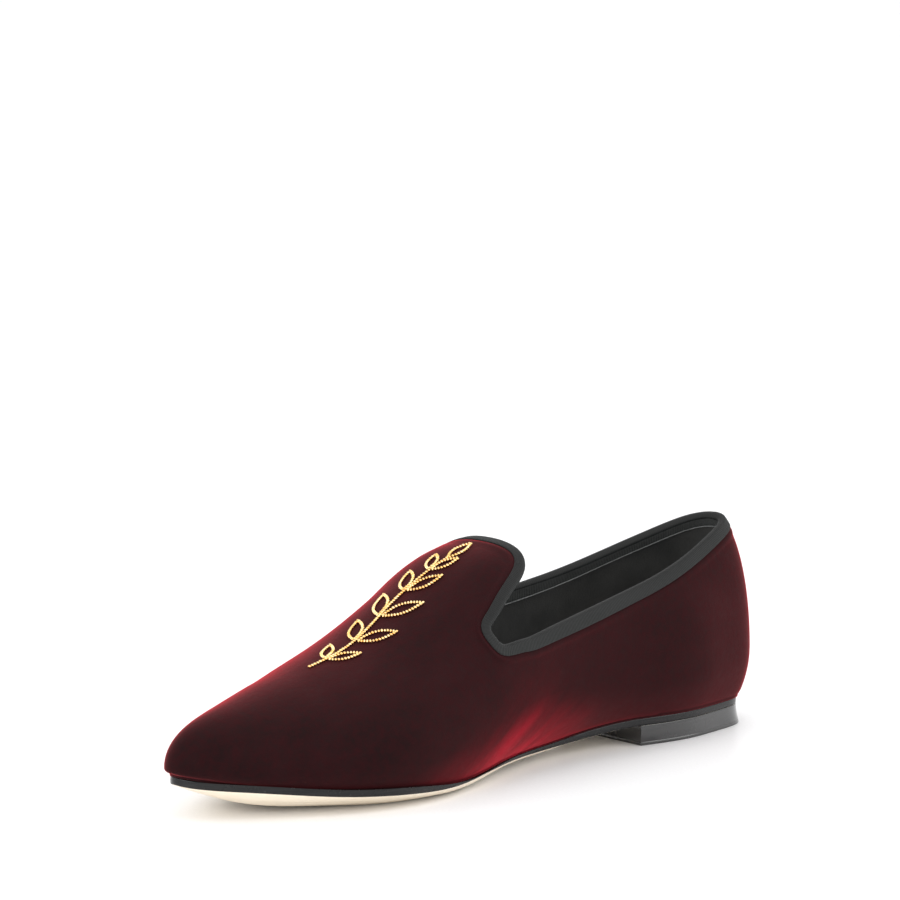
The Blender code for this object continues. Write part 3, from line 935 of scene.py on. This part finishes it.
def rounded_back(turns, points):
    """Lays the narrow ribs beside the back seam on a curve through the seam and the ribs next to them."""
    signed = np.where(turns > 1, turns - 2, turns)
    narrow = abs(signed) < (SEAM_RIBS + 0.5) * SEAM_STEP
    before = signed[~narrow & (signed < 0)].max()
    after = signed[~narrow & (signed > 0)].min()
    start = points[signed == before]
    middle = points[signed == 0]
    end = points[signed == after]
    at = signed[narrow][:, None, None]
    smooth = points.copy()
    smooth[narrow] = (
        start * at * (at - after) / (before * (before - after))
        + middle * (at - before) * (at - after) / (before * after)
        + end * at * (at - before) / (after * (after - before))
    )
    return smooth


def row_levels(skirt_rows, dome_rows):
    """Levels of the rows, closer together beside the sole and beside the tape."""
    skirt = -(np.linspace(1, 0, skirt_rows + 1)[:-1] ** SKIRT_CROWDING)
    dome = 1 - (1 - np.linspace(0, 1, dome_rows + 1)) ** DOME_CROWDING
    return np.r_[skirt, dome]


def upper_grid(turns, levels, under_tape):
    """Points of the upper's outside, from under the sole's edge to under the tape."""
    body = surface(turns[:, None], levels[None, :])
    foot = body[:, :1] - np.array([0, 0, FOOT_DROP])
    covered = [below_topline(turns, depth)[:, None] for depth in under_tape]
    return np.concatenate([foot, body] + covered, 1)


def build_velvet(cloth):
    """Velvet skin: it swells beside the tape, tucks in at the sole and is drawn in at the back seam."""
    turns = skin_turns()
    levels = row_levels(SKIRT_ROWS, SKIN_ROWS)
    points = rounded_back(turns, upper_grid(turns, levels, SKIN_UNDER_TAPE))
    normals = outward(points)
    steps = np.linalg.norm(np.diff(points, axis=1), axis=2)
    climbed = np.concatenate([np.zeros((len(turns), 1)), np.cumsum(steps, 1)], 1)
    from_tape = climbed[:, len(levels)][:, None] - climbed
    from_sole = climbed - climbed[:, 1:2]
    swell = SWELL * np.exp(-((from_tape - SWELL_PLACE) / SWELL_WIDTH) ** 2) * (from_tape > -0.01 * MM)
    tuck = -TUCK_DEPTH * np.exp(-(from_sole / TUCK_WIDTH) ** 2)
    beside_seam = points[..., 0] - centre_line(station_of(points[..., 1]))
    at_back = np.minimum(turns, 2 - turns)[:, None] < SEAM_SIDE
    from_edge = np.clip(from_tape / SEAM_FADE, 0, 1)
    seam = -SEAM_DEPTH * np.exp(-(beside_seam / SEAM_WIDTH) ** 2) * at_back * from_edge
    points = points + normals * (swell + tuck + seam)[..., None]
    faces = grid_faces(len(turns), points.shape[1], True, False)
    return thickened(mesh_piece("velvet_upper", points, faces, [cloth]), SKIN_DEPTH)


def build_lining(skin):
    """Lining that follows the inside of the velvet down to the insole."""
    turns = rib_turns(LINING_RIBS)
    levels = row_levels(SKIRT_ROWS // 2, LINING_ROWS)
    points = upper_grid(turns, levels, LINING_UNDER_TAPE)
    points = points - outward(points) * LINING_INSET
    faces = grid_faces(len(turns), points.shape[1], True, False)
    return thickened(mesh_piece("lining", points, faces, [skin]), LINING_DEPTH)


# Tape


def even_turns(count):
    """Turns that divide the finished edge into equal lengths, and its whole length."""
    fine = np.linspace(0, 2, 3001)
    path = lifted(on_side(fine, topline))
    arc = path_arc(path)
    return np.interp(np.arange(count) / count * arc[-1], arc, fine), arc[-1]


def tape_path():
    """Middle of the tape's section: how far down the leg, height over the wall's top, place and way out."""
    outer = WALL / 2 + TAPE_PROUD - TAPE_THICKNESS / 2
    inner = -(WALL / 2 + TAPE_INNER_REACH)
    middle = (outer + inner) / 2
    reach = (outer - inner) / 2
    rise = TAPE_RISE - TAPE_THICKNESS / 2
    path = [(leg, 0.0, outer, 0.0, 1.0) for leg in TAPE_LEG[::-1]]
    for angle in np.linspace(0, math.pi, 9):
        up = math.sin(angle)
        aside = math.cos(angle)
        path.append((0.0, rise * up, middle + reach * aside, up, aside))
    return path + [(leg, 0.0, inner, 0.0, -1.0) for leg in TAPE_LEG]


def build_tape(ribbon, inner_ribbon_painted_lighter):
    """Ribbed tape folded over the edge: each rib is a low wave that runs right across it."""
    _, length = even_turns(4)
    count = round(length / TAPE_RIB_PITCH) * STEPS_PER_TAPE_RIB
    turns, _ = even_turns(count)
    _, down, out = edge_frame(turns)
    wave = TAPE_RIB_HEIGHT * np.cos(2 * np.pi * np.arange(count) / STEPS_PER_TAPE_RIB)
    width = tape_width(turns)
    half = TAPE_THICKNESS / 2
    path = tape_path()
    base = {leg: below_topline(turns, TAPE_RISE + (width - TAPE_RISE) * leg) for leg in (0.0,) + TAPE_LEG}
    loops = []
    for leg, height, place, rise, through in path:
        lift = (half + wave) * (0.55 if leg == 1.0 else 1.0)
        across_wall = (place - WALL / 2 + through * lift)[:, None]
        loops.append(base[leg] - down * (height + rise * lift)[:, None] + out * across_wall)
    for index in (-1, -4, len(path) // 2, 3, 0):
        leg, height, place, rise, through = path[index]
        loops.append(base[leg] - down * (height - rise * half) + out * (place - WALL / 2 - through * half))
    points = np.array(loops)
    faces = grid_faces(points.shape[0], points.shape[1], True, True)
    # The inner leg takes a copy of the cloth that is painted lighter, as painted light inside the shoe
    inner_loops = range(len(path) - len(TAPE_LEG) - 1, len(path))
    kinds = [int(index // count in inner_loops) for index in range(len(faces))]
    return mesh_piece("ribbed_tape", points, faces, [ribbon, inner_ribbon_painted_lighter], kinds)


def build_edge_cord(thread):
    """Fine pale thread along the tape's lower edge, inside the shoe."""
    turns, _ = even_turns(EDGE_CORD_STEPS)
    _, down, out = edge_frame(turns)
    base = below_topline(turns, tape_width(turns) + EDGE_CORD_RADIUS)
    twist = 1 + EDGE_CORD_TWIST * np.cos(2 * np.pi * np.arange(len(turns)) / 3)
    inner = -(WALL + TAPE_INNER_REACH + 0.1 * MM)
    radius = (EDGE_CORD_RADIUS * twist)[:, None]
    loops = []
    for angle in np.linspace(0, 2 * math.pi, 8)[:-1]:
        loops.append(base + out * (inner + radius * math.cos(angle)) + down * radius * math.sin(angle))
    points = np.array(loops)
    faces = grid_faces(points.shape[0], points.shape[1], True, True)
    return mesh_piece("edge_thread", points, faces, [thread])


# Sole, insole and heel


def eased(even):
    """Even steps from 0 to 1, drawn closer together at both ends."""
    return (even + (1 - np.cos(np.pi * even)) / 2) / 2


def sole_inset(side, share, inset):
    """Plan point of the sole's outline, drawn in by an inset."""
    point, _ = outline(side, share)
    margin = SOLE_MARGIN * read(SOLE_EDGE, "margin", station_of(point[..., 1]))
    return turned_in(side, share, margin - inset)


def insole_inset(side, share, inset):
    return turned_in(side, share, -(WALL + GAP + inset))


def plate(name, edge, height, profile, materials, slots):
    """Closed plate: rings round its rim by inset and rise in mm, with both of its faces filled in."""
    profile = [(inset * MM, rise * MM) for inset, rise in profile]
    shares = eased(np.linspace(0, 1, PLATE_ROWS + 1))
    points = []
    faces = []
    kinds = []

    def add(block, block_faces, kind):
        start = sum(len(part) for part in points)
        points.append(block)
        faces.extend(tuple(index + start for index in face) for face in block_faces)
        kinds.extend([kind] * len(block_faces))

    rings = []
    for inset, rise in profile:
        plan = np.vstack([edge(1, shares, inset), edge(-1, shares, inset)[-2:0:-1]])
        rings.append(np.c_[plan, height(plan[:, 0], station_of(plan[:, 1]), rise, inset)])
    for row in range(len(rings) - 1):
        pair = np.vstack([rings[row], rings[row + 1]])
        add(pair, grid_faces(2, len(rings[row]), False, True), slots[row])
    across_share = eased(np.linspace(0, 1, PLATE_COLUMNS + 1))[None, :, None]
    for end, kind in ((0, slots[0]), (-1, slots[-1])):
        inset, rise = profile[end]
        medial = edge(1, shares, inset)[:, None]
        lateral = edge(-1, shares, inset)[:, None]
        plan = lateral * (1 - across_share) + medial * across_share
        z = height(plan[..., 0], station_of(plan[..., 1]), rise, inset)
        block = np.concatenate([plan, z[..., None]], -1).reshape(-1, 3)
        inner = grid_faces(PLATE_ROWS + 1, PLATE_COLUMNS + 1, False, False)
        add(block, inner, kind)
    return plate_piece(name, np.vstack(points), faces, materials, kinds)


def plate_piece(name, points, faces, materials, kinds):
    """Mesh of a plate, its rings and faces joined where they meet."""
    obj = mesh_piece(name, points, faces, materials, kinds)
    work = bmesh.new()
    work.from_mesh(obj.data)
    bmesh.ops.remove_doubles(work, verts=work.verts, dist=0.002 * MM)
    bmesh.ops.dissolve_degenerate(work, edges=work.edges, dist=0.001 * MM)
    bmesh.ops.recalc_face_normals(work, faces=work.faces)
    work.to_mesh(obj.data)
    work.free()
    return obj


def build_outsole(leather, lacquer):
    """Leather sole: pale underside with a sewn channel, and a round black edge, bevelled at the waist."""
    profile = [(6.5, 0.0), (6.2, 0.14), (5.9, 0.14), (5.6, 0.0), (4.0, 0.0), (2.6, 0.0), (1.3, 0.0),
               (0.4, 0.0), (0.12, 0.08), (0.02, 0.28), (0.0, 0.9), (-0.05, 1.5), (0.0, 2.1), (0.08, 2.5),
               (0.35, 2.7)]
    slots = [0] * 8 + [1] * 6

    def height(x, station, rise, inset):
        cut = SOLE_THICKNESS * (1 - np.clip(read(EDGE_BAND, "share", station), 0, 1))
        bevel = cut * np.clip(1 - inset / BEVEL_REACH, 0, 1) ** 2
        return tread_height(x, station) + bevel + rise * (1 - bevel / SOLE_THICKNESS)

    return plate("leather_outsole", sole_inset, height, profile, [leather, lacquer], slots)


def build_insole(leather):
    """Padded sock: a crowned pad with a rolled rim."""
    profile = [(1.6, 0.0), (0.5, 0.12), (0.1, 0.6), (0.0, 1.2), (0.15, 1.75), (0.6, 2.2), (1.4, 2.42),
               (2.8, 2.5)]

    def height(x, station, rise, _inset):
        crown = PAD_CROWN * (1 - across(x, station) ** 2) * rise / INSOLE_THICKNESS
        return tread_height(x, station) + SOLE_THICKNESS + INSOLE_GAP + rise + crown

    return plate("padded_insole", insole_inset, height, profile, [leather], [0] * 7)


def heel_loop():
    """Plan of the heel: the sole's outline round the back, cut straight across at the breast."""
    breast = HEEL_CENTRE - HEEL_LENGTH
    shares = np.linspace(0, 0.3, HEEL_STEPS)
    sides = []
    for side in (1, -1):
        edge = sole_inset(side, shares, 0.0)
        kept = edge[edge[:, 1] > breast]
        x = np.interp(-breast, -edge[:, 1], edge[:, 0])
        sides.append(np.vstack([kept[:-1], [x, breast]]))
    medial, lateral = sides
    return np.vstack([medial[::-1], lateral[1:]])


def build_heel(polish, rubber):
    """Heel block that flares out a little at the back, with a fine groove near the floor."""
    loop = heel_loop()
    ahead = unit(np.roll(loop, -1, 0) - loop)
    behind = np.roll(ahead, 1, 0)
    normals = unit(np.stack([ahead[:, 1] + behind[:, 1], -(ahead[:, 0] + behind[:, 0])], -1))
    normals = normals * np.sign(np.sum(normals * loop, -1, keepdims=True))
    to_back = np.clip((loop[:, 1:] + HEEL_LENGTH / 2) / HEEL_LENGTH, 0, 1)
    # Inset, share of the flare, and rise
    profile = [(0.5, 1.0, 0.0), (0.12, 1.0, 0.08), (0.0, 1.0, 0.3), (0.0, 0.80, 1.2), (0.07, 0.78, 1.26),
               (0.07, 0.77, 1.34), (0.0, 0.75, 1.4), (0.0, 0.42, 2.8), (0.0, 0.18, 4.2), (0.0, 0.04, 5.6),
               (0.0, 0.0, 6.9), (0.1, 0.0, 7.12), (0.4, 0.0, 7.2)]
    rows = []
    for inset, flare, rise in profile:
        plan = loop + normals * (HEEL_FLARE * flare * to_back - inset * MM)
        rows.append(np.c_[plan, np.full(len(plan), rise * MM)])
    points = np.array(rows)
    count = len(loop)
    faces = grid_faces(len(profile), count, False, True)
    kinds = [int(index < count) for index in range(len(faces))]
    faces.append(tuple(range(count)))
    faces.append(tuple(range((len(profile) - 1) * count, len(profile) * count))[::-1])
    kinds += [1, 0]
    return mesh_piece("heel_stack", points, faces, [polish, rubber], kinds)


# Beaded sprig


def leaf_path(base, heading, length, width):
    """Almond outline of a leaf from its stalk, in the flat pattern, as one closed path."""
    steps = np.linspace(0, 1, 40)
    ahead = np.array([math.cos(heading), math.sin(heading)])
    aside = np.array([-ahead[1], ahead[0]])
    bulge = width / 2 * np.sin(np.pi * steps ** 0.9)
    upper_side = base + ahead * (steps * length)[:, None] + aside * bulge[:, None]
    lower_side = base + ahead * (steps * length)[:, None] - aside * bulge[:, None]
    return np.vstack([upper_side, lower_side[::-1]])


def sprig_paths():
    """Strands of the pattern, in metres along the ridge (towards the tongue) and across it."""
    steps = np.linspace(0, 1, 80)
    stem_along = (steps - 0.5) * SPRIG_LENGTH
    stem = np.stack([stem_along, SPRIG_SWAY * np.sin(2 * np.pi * steps)], -1)
    paths = [stem[6:]]
    for share, length, width, spread in SPRIG_LEAVES:
        at = np.array([np.interp(share, steps, stem[:, 0]), np.interp(share, steps, stem[:, 1])])
        for side in (1, -1):
            heading = side * math.radians(spread)
            stalk = np.array([math.cos(heading), math.sin(heading)]) * SPRIG_STALK
            paths.append(leaf_path(at + stalk, heading, length * MM, width * MM))
    paths.append(leaf_path(stem[-1], 0.0, *TIP_LEAF))
    return paths


def strung(path, step):
    """Even places along a path, and the way it runs at each."""
    arc = path_arc(path)
    count = max(2, round(arc[-1] / step))
    at = (np.arange(count) + 0.5) / count * arc[-1]
    places = np.stack([np.interp(at, arc, path[:, axis]) for axis in (0, 1)], -1)
    after = np.stack([np.interp(at + step / 4, arc, path[:, axis]) for axis in (0, 1)], -1)
    before = np.stack([np.interp(at - step / 4, arc, path[:, axis]) for axis in (0, 1)], -1)
    return places, unit(after - before)


def on_vamp(flat):
    """Point and way out on the vamp for places in the flat pattern, measured along the surface."""
    stations = np.linspace(0.40, 0.98, 500)
    ridge = np.stack([along(stations), last_height(centre_line(stations), stations)], -1)
    arc = path_arc(ridge)
    middle = np.interp(SPRIG_STATION, stations, arc)
    station = np.interp(middle - flat[:, 0], arc, stations)
    reach = np.linspace(0, SPRIG_REACH, 60)[None, :]
    side = np.where(flat[:, 1] >= 0, 1.0, -1.0)[:, None]
    x = centre_line(station)[:, None] + side * reach
    z = last_height(x, np.broadcast_to(station[:, None], x.shape))
    run = np.hypot(np.diff(x, axis=1), np.diff(z, axis=1))
    arc_across = np.concatenate([np.zeros((len(x), 1)), np.cumsum(run, 1)], 1)
    offset = np.array([np.interp(abs(value), row, reach[0]) for value, row in zip(flat[:, 1], arc_across)])
    plan = np.stack([centre_line(station) + side[:, 0] * offset, along(station)], -1)
    return lifted(plan), dome_normal(plan, 0.1 * MM)


def bead_shape():
    """Round bead of unit radius as points and faces."""
    work = bmesh.new()
    bmesh.ops.create_uvsphere(work, u_segments=10, v_segments=7, radius=1.0)
    points = np.array([vertex.co for vertex in work.verts])
    faces = [tuple(vertex.index for vertex in face.verts) for face in work.faces]
    work.free()
    return points, faces


def build_beads(gilt):
    """Beaded sprig sewn on the vamp: tilted beads strung close along its stem and leaves."""
    shape, shape_faces = bead_shape()
    rng = np.random.default_rng(5)
    points = []
    faces = []
    for path in sprig_paths():
        places, runs = strung(path, BEAD_STEP)
        centre, out = on_vamp(places)
        ahead, _ = on_vamp(places + runs * 0.2 * MM)
        forward = unit(ahead - centre)
        aside = unit(np.cross(out, forward))
        for index in range(len(places)):
            tilt = BEAD_TILT + rng.normal(0, BEAD_SWING)
            long_way = forward[index] * math.cos(tilt) + aside[index] * math.sin(tilt)
            short_way = np.cross(out[index], long_way)
            size = BEAD_SIZE / 2 * rng.uniform(*BEAD_RANGE)
            axes = np.array([long_way * size * BEAD_FLAT, short_way * size * 1.12, out[index] * size * 0.9])
            rest = centre[index] + out[index] * (size * 0.7 + PILE_LIFT)
            start = len(points) * len(shape)
            points.append(rest + shape @ axes)
            faces.extend(tuple(vertex + start for vertex in face) for face in shape_faces)
    mesh = bpy.data.meshes.new("beaded_sprig")
    mesh.from_pydata(np.vstack(points).tolist(), [], faces)
    mesh.materials.append(gilt)
    mesh.shade_smooth()
    return added("beaded_sprig", mesh)


# Floor, lights and camera


def build_floor():
    """Plain white sweep under the shoe."""
    corners = [(x * FLOOR_SIZE, y * FLOOR_SIZE, 0) for x, y in ((-1, -1), (1, -1), (1, 1), (-1, 1))]
    floor = mesh_piece("floor", corners, [(0, 1, 2, 3)], [floor_material()])


def floor_material():
    paper = Surface("studio_paper", Roughness=0.38)
    fibre = paper.noise(900.0, 2.0)
    paper.tint(paper.ranged(fibre, 0.3, 0.7), (0.88, 0.88, 0.885), (0.92, 0.92, 0.925))
    paper.specular(0.25)
    return paper.material


def add_light(name, place, target, size, power):
    """Soft rectangular light that looks at a point of the shoe."""
    data = bpy.data.lights.new(name, "AREA")
    data.shape = "RECTANGLE"
    data.size, data.size_y = size
    data.energy = power
    light = added(name, data)
    light.location = place
    light.rotation_euler = (Vector(target) - Vector(place)).to_track_quat("-Z", "Y").to_euler()


def build_studio():
    world = bpy.data.worlds.new("studio")
    bpy.context.scene.world = world
    world.use_nodes = True
    background = world.node_tree.nodes["Background"]
    background.inputs["Color"].default_value = colour(1, 1, 1)
    background.inputs["Strength"].default_value = WORLD_STRENGTH
    bpy.context.scene.view_settings.view_transform = "Standard"
    middle = (0.0, -0.09, 0.03)
    add_light("overhead_softbox", (0.1, -0.1, 1.5), middle, (1.6, 1.6), 7)
    add_light("toe_softbox", (0.35, -1.3, 0.45), (0.0, -0.2, 0.01), (0.7, 0.5), 5)
    add_light("back_softbox", (0.9, 0.8, 0.7), middle, (0.8, 0.6), 4)


def build_camera():
    """Camera at the photograph's angle, turned so that its target falls on the same pixel."""
    level = math.cos(CAMERA_ELEVATION)
    right = math.sin(CAMERA_AZIMUTH) * level
    back = Vector((right, -math.cos(CAMERA_AZIMUTH) * level, math.sin(CAMERA_ELEVATION)))
    focal_pixels = PIXELS_PER_MM / MM * CAMERA_DISTANCE
    data = bpy.data.cameras.new("camera")
    data.sensor_width = SENSOR_WIDTH
    data.lens = SENSOR_WIDTH * focal_pixels / IMAGE_SIZE
    data.clip_start = 0.05
    data.clip_end = 100
    camera = added("camera", data)
    camera.location = Vector(CAMERA_TARGET) + back * CAMERA_DISTANCE
    aim = Vector((TARGET_PIXEL[0] - IMAGE_SIZE / 2, IMAGE_SIZE / 2 - TARGET_PIXEL[1], -focal_pixels))
    turned = aim.rotation_difference(Vector((0, 0, -1)))
    camera.rotation_mode = "QUATERNION"
    camera.rotation_quaternion = (-back).to_track_quat("-Z", "Y") @ turned
    bpy.context.scene.camera = camera


def main():
    velvet = build_velvet(velvet_material())
    lining = build_lining(lining_material())
    # Two copies of one cloth: the inner copy is painted much lighter, as painted light on the tape's inner
    # leg
    cloth = tape_material("ribbed_tape_cloth", (0.0105, 0.0115, 0.011), (0.0070, 0.0075, 0.0073))
    tape_cloth_painted_lighter = tape_material("ribbed_tape_inner_painted_light", (0.080, 0.084, 0.082), (0.062, 0.065, 0.063))
    tape = build_tape(cloth, tape_cloth_painted_lighter)
    thread = build_edge_cord(thread_material())
    insole = build_insole(insole_material())
    outsole = build_outsole(sole_material(), edge_material())
    heel = build_heel(heel_material(), lift_material())
    beads = build_beads(gold_material())
    for piece in (velvet, lining, tape, thread, insole, outsole, heel, beads):
        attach(piece, "root")
    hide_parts("upper")
    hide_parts("topline_binding")
    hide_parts("insole")
    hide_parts("outsole")
    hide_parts("heel")
    build_floor()
    build_studio()
    build_camera()


main()
